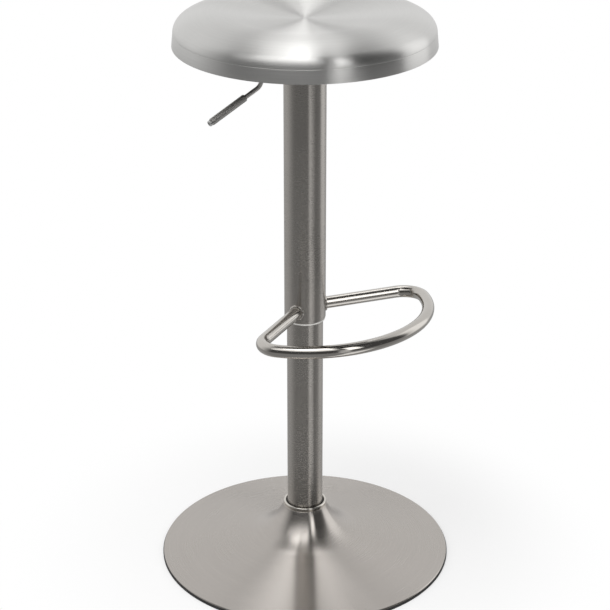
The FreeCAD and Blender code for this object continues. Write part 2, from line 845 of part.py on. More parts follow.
def footrest(stool):
    """One round bar, rising to the front: half is swept, then mirrored and coped to the sleeve."""
    body = stool.body("footrest")
    run, base_across, base_up, front_centre = footrest_places(stool)
    lean = math.radians(stool.footrest_arm_angle.value)
    outward = FreeCAD.Vector(math.sin(lean), -math.cos(lean), 0)
    corner_centre = FreeCAD.Vector(base_across.value, base_up.value, 0) + outward * run.value
    arc_centre = FreeCAD.Vector(0, front_centre.value, 0)
    toward_corner = (corner_centre - arc_centre).normalize()
    away = FreeCAD.Vector(math.cos(lean), math.sin(lean), 0)
    arm_end = corner_centre + away * stool.footrest_corner_radius.value
    arm_start = arm_end - outward * run.value
    tilt = stool.footrest_tilt
    path = sketch_on(body, "XY_Plane", "bar_path")
    path.AttachmentOffset = FreeCAD.Placement(
        FreeCAD.Vector(0, 0, 0), FreeCAD.Rotation(FreeCAD.Vector(-1, 0, 0), tilt.value)
    )
    path.setExpression("AttachmentOffset.Rotation.Angle", tilt.text)
    front_angle = math.atan2(toward_corner.y, toward_corner.x)
    axis = FreeCAD.Vector(0, 0, 1)
    front_arc = path.addGeometry(Part.ArcOfCircle(
        Part.Circle(arc_centre, axis, stool.footrest_front_radius.value), -math.pi / 2, front_angle), False)
    corner_arc = path.addGeometry(Part.ArcOfCircle(
        Part.Circle(corner_centre, axis, stool.footrest_corner_radius.value), front_angle, lean), False)
    arm = path.addGeometry(Part.LineSegment(arm_end, arm_start), False)
    path.addConstraint(Sketcher.Constraint("Tangent", front_arc, 2, corner_arc, 1))
    path.addConstraint(Sketcher.Constraint("Tangent", corner_arc, 2, arm, 1))
    path.addConstraint(Sketcher.Constraint("PointOnObject", front_arc, 3, -2))
    path.addConstraint(Sketcher.Constraint("PointOnObject", front_arc, 1, -2))
    bind(path, "DistanceY", -1, 1, front_arc, 1, -stool.footrest_reach)
    bind(path, "Radius", front_arc, stool.footrest_front_radius)
    bind(path, "Radius", corner_arc, stool.footrest_corner_radius)
    fix_point(path, arm, 2, as_size(0), as_size(0))
    section = sketch_on(body, "YZ_Plane", "bar_section")
    circle(section, -stool.footrest_reach * cosine(tilt), stool.footrest_reach * sine(tilt),
           stool.footrest_bar_radius)
    sweep = body.newObject("PartDesign::AdditivePipe", "bar_half")
    sweep.Profile = section
    sweep.Spine = path
    body.Tip = sweep
    mirror = body.newObject("PartDesign::Mirrored", "bar_whole")
    mirror.Originals = [sweep]
    mirror.MirrorPlane = (plane(body, "YZ_Plane"), [""])
    body.Tip = mirror
    cope = sketch_on(body, "XY_Plane", "sleeve_cope")
    circle(cope, 0, 0, stool.sleeve_radius)
    pocket(body, cope, "cope", stool.through, both_ways=True)
    body.Placement.Base.z = stool.footrest_height.value
    body.setExpression("Placement.Base.z", stool.footrest_height.text)


def arm_cylinder(stool, name, radius, side):
    """A round bar along one footrest arm's line."""
    lean = stool.footrest_arm_angle
    forward = cosine(lean)
    sizes = {"Radius": radius, "Height": stool.sleeve_radius * 2}
    bar = primitive(stool, "Part::Cylinder", name, sizes, (0, 0, stool.footrest_height))
    along = FreeCAD.Vector(side * sine(lean).value, -(forward * cosine(stool.footrest_tilt)).value,
                           (forward * sine(stool.footrest_tilt)).value)
    bar.Placement.Rotation = FreeCAD.Rotation(FreeCAD.Vector(0, 0, 1), along)
    return bar


def footrest_welds(stool):
    """A bead round each arm where it meets the sleeve."""
    reach = stool.footrest_bar_radius * 2
    place = (0, 0, stool.footrest_height - reach)
    beads = []
    for side in (1, -1):
        mark = "right" if side > 0 else "left"
        sizes = {"Radius": stool.sleeve_radius + stool.weld_radius, "Height": reach * 2}
        zone = primitive(stool, "Part::Cylinder", "weld_zone_" + mark, sizes, place)
        sizes = {"Radius": stool.sleeve_radius, "Height": reach * 2}
        core = primitive(stool, "Part::Cylinder", "weld_core_" + mark, sizes, place)
        fat = arm_cylinder(stool, "weld_outside_" + mark,
                           stool.footrest_bar_radius + stool.weld_radius, side)
        thin = arm_cylinder(stool, "weld_inside_" + mark, stool.footrest_bar_radius, side)
        rim = cut(stool, "weld_rim_" + mark, zone, core)
        bead = stool.doc.addObject("Part::Common", "weld_sleeve_" + mark)
        bead.Base = rim
        bead.Tool = fat
        beads.append(cut(stool, "weld_bead_" + mark, bead, thin))
    group = stool.doc.addObject("Part::Compound", "footrest_welds")
    group.Links = beads
    stool.keep(group, "footrest_welds")


# mechanism under the seat

def taper_socket(stool):
    turned(stool, "taper_socket", [
        (stool.cylinder_radius, stool.taper_foot), (stool.socket_radius, stool.taper_foot),
        (stool.socket_radius, stool.socket_head), (stool.cylinder_tip, stool.socket_head),
    ])


def mechanism_box(stool):
    """Pressed box with a square flange, welded round the taper socket."""
    body = stool.body("mechanism_box")
    wall = stool.box_wall
    half_plate = stool.plate_side / 2
    flange = sketch_on(body, "XY_Plane", "flange_outline")
    rectangle(flange, half_plate, half_plate)
    lift_sketch(flange, stool.plate_foot)
    pad(body, flange, "flange", wall)
    outside = sketch_on(body, "XY_Plane", "box_outline")
    rectangle(outside, stool.box_length / 2, stool.box_width / 2)
    lift_sketch(outside, stool.box_foot)
    pad(body, outside, "box", stool.box_depth - wall)
    inside = sketch_on(body, "XY_Plane", "hollow_outline")
    rectangle(inside, stool.box_length / 2 - wall, stool.box_width / 2 - wall)
    lift_sketch(inside, stool.plate_top)
    pocket(body, inside, "hollow", stool.box_depth - wall)
    bore = sketch_on(body, "XY_Plane", "socket_hole")
    circle(bore, 0, 0, stool.socket_radius)
    pocket(body, bore, "socket_bore", stool.through, both_ways=True)
    slot = sketch_on(body, "YZ_Plane", "lever_slot_outline")
    half_slot = stool.lever_slot_height / 2
    half_width = stool.lever_slot_width / 2
    outline(slot, [
        (-half_width, stool.lever_height - half_slot), (half_width, stool.lever_height - half_slot),
        (half_width, stool.lever_height + half_slot), (-half_width, stool.lever_height + half_slot),
    ])
    pocket(body, slot, "lever_slot", stool.box_length)
    bolt_holes(stool, body)
    screw = sketch_on(body, "XY_Plane", "cap_screw_thread")
    circle(screw, stool.cap_screw_circle, 0, stool.cap_screw_radius)
    pocket(body, screw, "cap_screw_tapping", stool.through, both_ways=True)
    repeat(body, stool.cap_screw_count)


def bolt_holes(stool, body):
    """Clearance holes for the seat bolts through a plate."""
    holes = sketch_on(body, "XY_Plane", "seat_bolt_hole")
    circle(holes, stool.bolt_across, stool.bolt_up, stool.seat_bolt_radius + stool.trim_clearance)
    pocket(body, holes, "seat_bolt_bore", stool.through, both_ways=True)
    repeat(body, stool.seat_bolt_count)


def pivot_bracket(stool):
    """U-shaped bracket on the box floor whose two ears hold the lever's pin."""
    body = stool.body("pivot_bracket")
    radius = stool.pivot_ear_radius
    left = -(stool.pivot_reach + radius)
    right = radius - stool.pivot_reach
    foot = stool.box_floor
    thick = stool.pivot_ear_thickness
    span = stool.pivot_boss_length + stool.free_clearance * 2
    ears = sketch_on(body, "XZ_Plane", "ear_outline")
    outline(ears, [
        (left, foot), (right, foot), (right, stool.lever_height, radius, -1),
        (-stool.pivot_reach, stool.lever_height + radius, radius, -1), (left, stool.lever_height),
    ])
    block = pad(body, ears, "ears", span + thick * 2)
    block.Midplane = True
    gap = sketch_on(body, "XZ_Plane", "ear_gap")
    outline(gap, [
        (left, foot + thick), (right, foot + thick),
        (right, stool.lever_height + radius * 2), (left, stool.lever_height + radius * 2),
    ])
    pocket(body, gap, "gap", span, both_ways=True)
    eye = sketch_on(body, "XZ_Plane", "pin_eye")
    circle(eye, -stool.pivot_reach, stool.lever_height, stool.pivot_pin_radius)
    pocket(body, eye, "eye", stool.through, both_ways=True)


def pivot_pin(stool):
    body = stool.body("pivot_pin")
    sketch = sketch_on(body, "XZ_Plane", "pin_outline")
    circle(sketch, -stool.pivot_reach, stool.lever_height, stool.pivot_pin_radius)
    outside = stool.free_clearance + stool.pivot_ear_thickness + stool.pivot_pin_proud
    pin = pad(body, sketch, "pin", stool.pivot_boss_length + outside * 2)
    pin.Midplane = True


# lever

def lever_path(stool):
    """Ends of the lever rod's straight runs and bends, from the pivot's height."""
    elbow = stool.lever_elbow_radius
    knee = stool.lever_knee_radius
    steep = stool.lever_drop_angle
    grip = stool.lever_grip_angle
    first = (-stool.lever_elbow_reach, as_size(0))
    second = (first[0] - elbow * sine(steep), elbow * cosine(steep) - elbow)
    bend = (knee * (sine(grip) - sine(steep)), knee * (cosine(steep) - cosine(grip)))
    tip = (-stool.lever_tip_reach, -stool.lever_tip_drop)
    across = tip[0] - second[0] - bend[0]
    up = tip[1] - second[1] - bend[1]
    spread = sine(steep) * cosine(grip) - cosine(steep) * sine(grip)
    run = (across * sine(grip) - up * cosine(grip)) / spread
    third = (second[0] - run * cosine(steep), second[1] - run * sine(steep))
    fourth = (third[0] + bend[0], third[1] + bend[1])
    return first, second, third, fourth, tip


def lever_rod(stool):
    """Bent round rod with a boss that turns on the pivot pin."""
    body = stool.body("lever_rod")
    first, second, third, fourth, tip = lever_path(stool)
    path = sketch_on(body, "XZ_Plane", "rod_path")
    outline(path, [
        (0, 0), (*first, stool.lever_elbow_radius, -1), second,
        (*third, stool.lever_knee_radius, 1), fourth, tip,
    ], closed=False)
    section = sketch_on(body, "YZ_Plane", "rod_section")
    circle(section, 0, 0, stool.lever_rod_radius)
    sweep = body.newObject("PartDesign::AdditivePipe", "rod")
    sweep.Profile = section
    sweep.Spine = path
    body.Tip = sweep
    boss = sketch_on(body, "XZ_Plane", "boss_outline")
    circle(boss, -stool.pivot_reach, 0, stool.pivot_boss_radius)
    barrel = pad(body, boss, "boss", stool.pivot_boss_length)
    barrel.Midplane = True
    bore = sketch_on(body, "XZ_Plane", "boss_bore_outline")
    circle(bore, -stool.pivot_reach, 0, stool.pivot_pin_radius + stool.running_clearance)
    pocket(body, bore, "boss_bore", stool.through, both_ways=True)
    body.Placement.Base.z = stool.lever_height.value
    body.setExpression("Placement.Base.z", stool.lever_height.text)


def lay_on_grip(stool, body):
    """Turns a sub-part's Z axis along the grip, from the rod's tip back towards the seat."""
    place = {"x": -stool.lever_tip_reach, "z": stool.lever_height - stool.lever_tip_drop}
    body.Placement = FreeCAD.Placement(
        FreeCAD.Vector(place["x"].value, 0, place["z"].value),
        FreeCAD.Rotation(FreeCAD.Vector(0, 1, 0), 90 - stool.lever_grip_angle.value),
    )
    for axis, size in place.items():
        body.setExpression("Placement.Base." + axis, size.text)


def lever_handle(stool):
    rounding = stool.grip_round
    grip = turned(stool, "lever_grip", [
        (stool.lever_rod_radius, 0), (stool.grip_radius, 0),
        (stool.grip_radius, stool.grip_length - rounding, rounding, -1),
        (stool.grip_radius - rounding, stool.grip_length), (stool.lever_rod_radius, stool.grip_length),
    ])
    lay_on_grip(stool, grip)
    rounding = stool.end_cap_round
    end = -stool.end_cap_length
    hole = stool.end_cap_hole_radius
    cap = turned(stool, "lever_end_cap", [
        (0, end + stool.end_cap_hole_depth), (hole, end + stool.end_cap_hole_depth), (hole, end),
        (stool.end_cap_radius - rounding, end, rounding, -1),
        (stool.end_cap_radius, end + rounding), (stool.end_cap_radius, 0), (0, 0),
    ])
    lay_on_grip(stool, cap)


# seat

def seat_shell(stool):
    """Dished pressing: shallow bowl, shoulder, sloping brow, rounded edge and a flared skirt."""
    wall = stool.seat_wall
    crest = stool.seat_crest
    crest_radius = stool.crest_radius
    shoulder = stool.seat_dish_shoulder
    brow = stool.seat_brow_radius
    edge = stool.seat_edge_radius
    flat = stool.seat_centre_flat
    slope = stool.seat_dish_depth / (crest_radius - flat)
    turn_sine = slope * 2 / (slope * slope + 1)
    turn_fall = slope * turn_sine
    bowl = (crest_radius - flat) / turn_sine - shoulder
    inner_shoulder = shoulder - wall
    head_radius = stool.seat_radius - stool.seat_skirt_draft
    brow_foot = (crest_radius + stool.brow_run, crest - stool.brow_fall)
    inner_foot = (brow_foot[0] - wall * sine(stool.seat_brow_angle),
                  brow_foot[1] - wall * cosine(stool.seat_brow_angle))
    turned(stool, "seat_shell", [
        (0, stool.seat_centre),
        (flat, stool.seat_centre, bowl, -1),
        (crest_radius - shoulder * turn_sine, crest - shoulder * turn_fall, shoulder, 1),
        (crest_radius, crest, brow, 1),
        (*brow_foot, edge, 1),
        (head_radius, stool.skirt_head),
        (stool.seat_radius, stool.skirt_foot),
        (stool.seat_radius - wall, stool.skirt_foot),
        (head_radius - wall, stool.skirt_head, edge - wall, -1),
        (*inner_foot, brow - wall, -1),
        (crest_radius, crest - wall, inner_shoulder, -1),
        (crest_radius - inner_shoulder * turn_sine, crest - wall - inner_shoulder * turn_fall,
         bowl + wall, 1),
        (flat, stool.seat_centre - wall),
        (0, stool.seat_centre - wall),
    ])


def seat_pan(stool):
    """Pressed stiffener that carries the shell under its crest."""
    wall = stool.pan_wall
    lean = stool.pan_lean
    rim_head = stool.seat_crest - stool.seat_wall - stool.pan_gap
    rim_inner = stool.crest_radius - stool.pan_rim_width
    floor = stool.pan_floor_radius
    body = turned(stool, "seat_pan", [
        (0, stool.plate_top), (floor, stool.plate_top), (rim_inner, rim_head - wall),
        (stool.crest_radius, rim_head - wall), (stool.crest_radius, rim_head),
        (rim_inner - lean, rim_head), (floor - lean, stool.pan_head), (0, stool.pan_head),
    ])
    bolt_holes(stool, body)


def seat_fasteners(stool):
    nut_head = stool.pan_head + stool.weld_nut_height
    hexagon_ring(stool, "weld_nuts", stool.weld_nut_across, stool.seat_bolt_radius,
                 stool.weld_nut_height, stool.pan_head, stool.seat_bolt_circle, stool.seat_bolt_count,
                 stool.seat_bolt_angle)
    washer_foot = stool.plate_foot - stool.seat_washer_thickness
    head_foot = washer_foot - stool.seat_bolt_head_height
    washers = ring(stool, "seat_washers", stool.seat_bolt_radius, stool.seat_washer_radius,
                   washer_foot, stool.plate_foot, stool.seat_bolt_circle)
    repeat(washers, stool.seat_bolt_count)
    turn_about_post(washers, stool.seat_bolt_angle)
    bolts = turned(stool, "seat_bolts", [
        (0, head_foot), (stool.seat_bolt_head_radius, head_foot),
        (stool.seat_bolt_head_radius, washer_foot), (stool.seat_bolt_radius, washer_foot),
        (stool.seat_bolt_radius, nut_head), (0, nut_head),
    ], stool.seat_bolt_circle)
    repeat(bolts, stool.seat_bolt_count)
    turn_about_post(bolts, stool.seat_bolt_angle)


def check_and_write(stool):
    """Stops on anything that failed, then writes one file for each sub-part."""
    stool.doc.recompute()
    for item in stool.doc.Objects:
        if "Invalid" in item.State or "Error" in item.State:
            raise RuntimeError("%s failed: %s" % (item.Name, item.State))
    for node in stool.nodes:
        if node.Shape.isNull() or not node.Shape.isValid():
            raise RuntimeError("%s has no valid shape" % node.Label)
    os.makedirs("parts", exist_ok=True)
    for node in stool.nodes:
        node.Shape.exportStep("parts/%s.step" % node.Label)
        print("%-18s %2d solids %10.1f mm3" % (node.Label, len(node.Shape.Solids), node.Shape.Volume))


def main():
    stool = Stool()
    for build in (
        base_shell, floor_ring, base_hub, hub_gussets, ballast_ring, ballast_fasteners, neck_trim,
        stand_tube, stand_fittings, piston_rod, bearing, piston, gas_cylinder, release_pin,
        sleeve, sleeve_bush, sleeve_cap, footrest, footrest_welds, taper_socket, mechanism_box,
        pivot_bracket, pivot_pin, lever_rod, lever_handle, seat_shell, seat_pan, seat_fasteners,
    ):
        build(stool)
    check_and_write(stool)


main()
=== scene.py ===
import json
import math

import bmesh
import bpy
from mathutils import Matrix, Vector, noise


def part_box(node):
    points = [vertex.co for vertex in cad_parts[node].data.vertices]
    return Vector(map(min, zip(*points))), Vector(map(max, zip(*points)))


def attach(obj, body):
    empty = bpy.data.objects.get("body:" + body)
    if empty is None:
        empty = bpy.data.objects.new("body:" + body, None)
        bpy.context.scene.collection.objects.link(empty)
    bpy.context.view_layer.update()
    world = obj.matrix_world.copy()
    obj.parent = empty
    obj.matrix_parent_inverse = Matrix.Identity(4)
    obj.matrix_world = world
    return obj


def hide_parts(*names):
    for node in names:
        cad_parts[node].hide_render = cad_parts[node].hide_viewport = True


# Looks of a height-adjustable stool in circular brushed steel. Lengths in metres, angles in
# degrees. The post's centre line is the Z axis, the sitter faces -Y, the lever points to -X.

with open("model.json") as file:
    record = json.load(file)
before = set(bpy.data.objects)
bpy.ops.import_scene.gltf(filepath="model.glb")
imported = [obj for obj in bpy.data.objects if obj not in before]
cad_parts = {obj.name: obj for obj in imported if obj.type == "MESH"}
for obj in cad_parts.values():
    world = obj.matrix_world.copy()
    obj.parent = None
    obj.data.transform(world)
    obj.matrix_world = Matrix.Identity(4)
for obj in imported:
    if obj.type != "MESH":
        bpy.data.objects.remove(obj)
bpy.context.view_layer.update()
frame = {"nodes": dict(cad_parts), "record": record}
nodes = frame["nodes"]

MM = 0.001
FULL_TURN = 360
HALF_TURN = 180
QUARTER_TURN = 90

# camera, from the outlines of the seat, the post and the base
CAMERA_AZIMUTH = -41.5
CAMERA_DISTANCE = 2.469
CAMERA_HEIGHT = 1.489
CAMERA_TILT = 65.92
CAMERA_LENS = 115.93
SENSOR_WIDTH = 36


def sine(degrees):
    return math.sin(math.radians(degrees))


def cosine(degrees):
    return math.cos(math.radians(degrees))


# horizontal directions as the camera sees them
TOWARDS_CAMERA = Vector((sine(CAMERA_AZIMUTH), -cosine(CAMERA_AZIMUTH), 0))
CAMERA_RIGHT = Vector((cosine(CAMERA_AZIMUTH), sine(CAMERA_AZIMUTH), 0))


# node helpers

class Shading:
    """Builds one node tree: each call adds a node and gives back its output."""

    def __init__(self, tree):
        self.tree = tree
        self.tree.nodes.clear()

    def add(self, kind, inputs=None, **settings):
        node = self.tree.nodes.new(kind)
        for name, value in settings.items():
            setattr(node, name, value)
        for name, value in (inputs or {}).items():
            self.put(node.inputs[name], value)
        return node

    def put(self, socket, value):
        if isinstance(value, bpy.types.NodeSocket):
            self.tree.links.new(value, socket)
        else:
            socket.default_value = value

    def sum(self, operation, first, second=0.0):
        return self.add("ShaderNodeMath", {0: first, 1: second}, operation=operation).outputs[0]

    def vector(self, operation, first, second=(0, 0, 0)):
        node = self.add("ShaderNodeVectorMath", {0: first, 1: second}, operation=operation)
        return node.outputs["Value" if operation in ("DOT_PRODUCT", "LENGTH") else "Vector"]

    def parts(self, vector):
        return self.add("ShaderNodeSeparateXYZ", {0: vector}).outputs

    def join(self, x, y, z):
        return self.add("ShaderNodeCombineXYZ", {0: x, 1: y, 2: z}).outputs[0]

    def spread(self, value, low, high, to_low, to_high, smooth=True):
        node = self.add(
            "ShaderNodeMapRange",
            {"Value": value, "From Min": low, "From Max": high, "To Min": to_low, "To Max": to_high},
            interpolation_type="SMOOTHSTEP" if smooth else "LINEAR",
        )
        return node.outputs["Result"]

    def band(self, value, low, high, soft):
        """1 between low and high, 0 outside, with soft edges."""
        rise = self.spread(value, low - soft, low + soft, 0.0, 1.0)
        fall = self.spread(value, high - soft, high + soft, 1.0, 0.0)
        return self.sum("MULTIPLY", rise, fall)

    def speckle(self, vector, scale, detail=2.0, roughness=0.5):
        node = self.add(
            "ShaderNodeTexNoise",
            {"Vector": vector, "Scale": scale, "Detail": detail, "Roughness": roughness},
        )
        return node.outputs["Fac"]

    def blend_colour(self, factor, first, second):
        node = self.add("ShaderNodeMix", data_type="RGBA")
        self.put(node.inputs[0], factor)
        self.put(node.inputs[6], first)
        self.put(node.inputs[7], second)
        return node.outputs[2]

    def bump(self, height, distance, strength=1.0):
        node = self.add("ShaderNodeBump", {"Height": height, "Distance": distance, "Strength": strength})
        return node.outputs["Normal"]


def new_finish(name):
    """A material with an empty tree, its Principled shader and its output."""
    finish = bpy.data.materials.new(name)
    finish.use_nodes = True
    shading = Shading(finish.node_tree)
    shader = shading.add("ShaderNodeBsdfPrincipled")
    output = shading.add("ShaderNodeOutputMaterial")
    shading.tree.links.new(shader.outputs[0], output.inputs["Surface"])
    return finish, shading, shader


def shade(colour, factor):
    return tuple(min(channel * factor, 1.0) for channel in colour) + (1.0,)


def object_place(shading):
    return shading.add("ShaderNodeTexCoord").outputs["Object"]


# finishes

# the part of a noise pattern's range that is spread over a finish
NOISE_LOW = 0.3
NOISE_HIGH = 0.7

# rings of brushing: their spacing, how fast they change round the ring, and their shares
GROOVE = 0.35 * MM
FINE_TURNS = 6.0
BROAD_SPACING = 0.11
BROAD_TURNS = 1.5
FINE_SHARE = 0.6
BROAD_SHARE = 0.4
GRAIN_SWING = 0.03
SMUDGE_SCALE = 9.0
SMUDGE = 0.05

# scales of the other patterns, in features per metre, and the heights of their grain
CLOUD_SCALE = 14.0
SCRATCH_SCALE = 260.0
SCRATCH_DEPTH = 0.002 * MM
CRYSTAL_SCALE = 900.0
PLATE_CLOUD_SCALE = 120.0
PLATE_DEPTH = 0.01 * MM
WEAR_SCALE = 22.0
MOULD_SCALE = 900.0
MOULD_DEPTH = 0.012 * MM
SCUFF_SCALE = 60.0


def ring_pattern(shading, across, round_x, round_y, turns, detail):
    """Noise drawn out along rings: across counts the rings, turns says how fast it changes along them."""
    place = shading.join(across, shading.sum("MULTIPLY", round_x, turns),
                         shading.sum("MULTIPLY", round_y, turns))
    return shading.speckle(place, 1.0, detail)


def turned_brushing(name, colour, roughness, anisotropy, contrast=0.05, groove_depth=0.004 * MM):
    """Steel brushed in rings round the post: fine grooves, faint longer streaks and dull patches."""
    finish, shading, shader = new_finish(name)
    place = object_place(shading)
    x, y, z = shading.parts(place)
    radius = shading.sum("SQRT", shading.sum("ADD", shading.sum("MULTIPLY", x, x),
                                             shading.sum("MULTIPLY", y, y)))
    across = shading.sum("DIVIDE", shading.sum("SUBTRACT", radius, z), GROOVE)
    round_x = shading.sum("DIVIDE", x, radius)
    round_y = shading.sum("DIVIDE", y, radius)
    fine = ring_pattern(shading, across, round_x, round_y, FINE_TURNS, 3.0)
    broad_across = shading.sum("MULTIPLY", across, BROAD_SPACING)
    broad = ring_pattern(shading, broad_across, round_x, round_y, BROAD_TURNS, 2.0)
    dull = shading.speckle(place, SMUDGE_SCALE, 3.0)
    mixed = shading.sum("ADD", shading.sum("MULTIPLY", fine, FINE_SHARE),
                        shading.sum("MULTIPLY", broad, BROAD_SHARE))
    tone = shading.spread(mixed, NOISE_LOW, NOISE_HIGH, 0.0, 1.0, smooth=False)
    shading.put(shader.inputs["Base Color"],
                shading.blend_colour(tone, shade(colour, 1 - contrast), shade(colour, 1 + contrast)))
    grain = shading.spread(mixed, NOISE_LOW, NOISE_HIGH, roughness - GRAIN_SWING,
                           roughness + GRAIN_SWING, smooth=False)
    patches = shading.spread(dull, 0.35, 0.75, 0.0, SMUDGE)
    shading.put(shader.inputs["Roughness"], shading.sum("ADD", grain, patches))
    shader.inputs["Metallic"].default_value = 1.0
    shader.inputs["Anisotropic"].default_value = anisotropy
    around = shading.join(shading.sum("MULTIPLY", y, -1.0), x, 0.0)
    around = shading.add("ShaderNodeVectorTransform", {0: around}, vector_type="VECTOR",
                         convert_from="OBJECT", convert_to="WORLD").outputs[0]
    facing = shading.add("ShaderNodeNewGeometry").outputs["Normal"]
    shading.put(shader.inputs["Tangent"],
                shading.vector("NORMALIZE", shading.vector("CROSS_PRODUCT", around, facing)))
    shading.put(shader.inputs["Normal"], shading.bump(mixed, groove_depth))
    return finish


def polished(name, colour, roughness, contrast=0.06):
    """Bright metal with light clouding and hair scratches."""
    finish, shading, shader = new_finish(name)
    place = object_place(shading)
    cloud = shading.speckle(place, CLOUD_SCALE, 4.0)
    fine = shading.speckle(place, SCRATCH_SCALE, 2.0)
    tone = shading.spread(cloud, 0.35, NOISE_HIGH, 0.0, 1.0)
    shading.put(shader.inputs["Base Color"],
                shading.blend_colour(tone, shade(colour, 1 - contrast), shade(colour, 1 + contrast)))
    dull = shading.spread(cloud, NOISE_LOW, 0.75, roughness * 0.8, roughness * 1.3)
    shading.put(shader.inputs["Roughness"],
                shading.sum("ADD", dull, shading.spread(fine, 0.4, 0.8, 0.0, roughness * 0.3)))
    shader.inputs["Metallic"].default_value = 1.0
    shading.put(shader.inputs["Normal"], shading.bump(fine, SCRATCH_DEPTH))
    return finish


def plated(name, colour, roughness=0.32):
    """Zinc or nickel plate: crystal mottling over a dull shine."""
    finish, shading, shader = new_finish(name)
    place = object_place(shading)
    crystals = shading.add("ShaderNodeTexVoronoi", {"Vector": place, "Scale": CRYSTAL_SCALE})
    cloud = shading.speckle(place, PLATE_CLOUD_SCALE, 3.0)
    tone = shading.sum("MULTIPLY", shading.sum("ADD", crystals.outputs["Distance"], cloud), 0.6)
    shading.put(shader.inputs["Base Color"],
                shading.blend_colour(tone, shade(colour, 0.82), shade(colour, 1.1)))
    shading.put(shader.inputs["Roughness"],
                shading.spread(cloud, NOISE_LOW, NOISE_HIGH, roughness - 0.06, roughness + 0.1))
    shader.inputs["Metallic"].default_value = 1.0
    shading.put(shader.inputs["Normal"], shading.bump(cloud, PLATE_DEPTH))
    return finish


def painted(name, colour, roughness, grain_scale, grain_depth):
    """Powder coat or raw casting: a grained surface with worn, slightly paler high spots."""
    finish, shading, shader = new_finish(name)
    place = object_place(shading)
    grain = shading.speckle(place, grain_scale, 3.0)
    cloud = shading.speckle(place, WEAR_SCALE, 4.0)
    wear = shading.spread(shading.sum("ADD", grain, cloud), 0.9, 1.35, 0.0, 1.0)
    shading.put(shader.inputs["Base Color"],
                shading.blend_colour(wear, shade(colour, 0.85), shade(colour, 1.6)))
    shading.put(shader.inputs["Roughness"],
                shading.spread(cloud, NOISE_LOW, NOISE_HIGH, roughness - 0.06, roughness + 0.08))
    shading.put(shader.inputs["Normal"], shading.bump(grain, grain_depth))
    return finish


def moulded(name, colour, roughness):
    """Rubber or plastic: fine mould grain and slight scuffing."""
    finish, shading, shader = new_finish(name)
    place = object_place(shading)
    grain = shading.speckle(place, MOULD_SCALE, 2.0)
    scuff = shading.speckle(place, SCUFF_SCALE, 4.0, 0.65)
    mark = shading.spread(scuff, 0.5, 0.75, 0.0, 1.0)
    shading.put(shader.inputs["Base Color"],
                shading.blend_colour(mark, shade(colour, 0.94), shade(colour, 1.3)))
    shading.put(shader.inputs["Roughness"], shading.spread(scuff, 0.4, 0.8, roughness, roughness - 0.1))
    shading.put(shader.inputs["Normal"], shading.bump(grain, MOULD_DEPTH))
    return finish


FINISHES = {
    "seat_steel": turned_brushing("seat_steel", (0.68, 0.675, 0.66), 0.30, 1.0),
    "base_steel": turned_brushing("base_steel", (0.49, 0.46, 0.43), 0.23, 0.95,
                                  groove_depth=0.002 * MM),
    "post_steel": turned_brushing("post_steel", (0.50, 0.475, 0.445), 0.26, 0.95, contrast=0.035,
                                  groove_depth=0.001 * MM),
    "bar_steel": polished("bar_steel", (0.56, 0.535, 0.50), 0.12),
    "collar_steel": polished("collar_steel", (0.72, 0.69, 0.64), 0.10),
    "lever_steel": polished("lever_steel", (0.80, 0.78, 0.76), 0.36, contrast=0.1),
    "cap_steel": polished("cap_steel", (0.70, 0.70, 0.69), 0.12),
    "grip_dark": plated("grip_dark", (0.55, 0.54, 0.52), 0.42),
    "black_rubber": moulded("black_rubber", (0.03, 0.03, 0.03), 0.7),
    "ballast_iron": painted("ballast_iron", (0.045, 0.045, 0.045), 0.62, 420.0, 0.15 * MM),
    "black_paint": painted("black_paint", (0.03, 0.03, 0.032), 0.42, 700.0, 0.03 * MM),
    "zinc_plate": plated("zinc_plate", (0.62, 0.62, 0.60)),
    "bearing_steel": polished("bearing_steel", (0.58, 0.58, 0.58), 0.16),
    "pale_plastic": moulded("pale_plastic", (0.74, 0.73, 0.70), 0.4),
}


def dress_nodes():
    """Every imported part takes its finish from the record's slot of that name."""
    for row in frame["record"]["subparts"]:
        mesh = nodes[row["node"]].data
        mesh.materials.clear()
        mesh.materials.append(FINISHES[row["material_slot"]])


# shape helpers

SPIN_STEPS = 192
SHARP_ANGLE = 32
SAME_POINT = 0.001 * MM
SAME_SEAM = 0.01 * MM


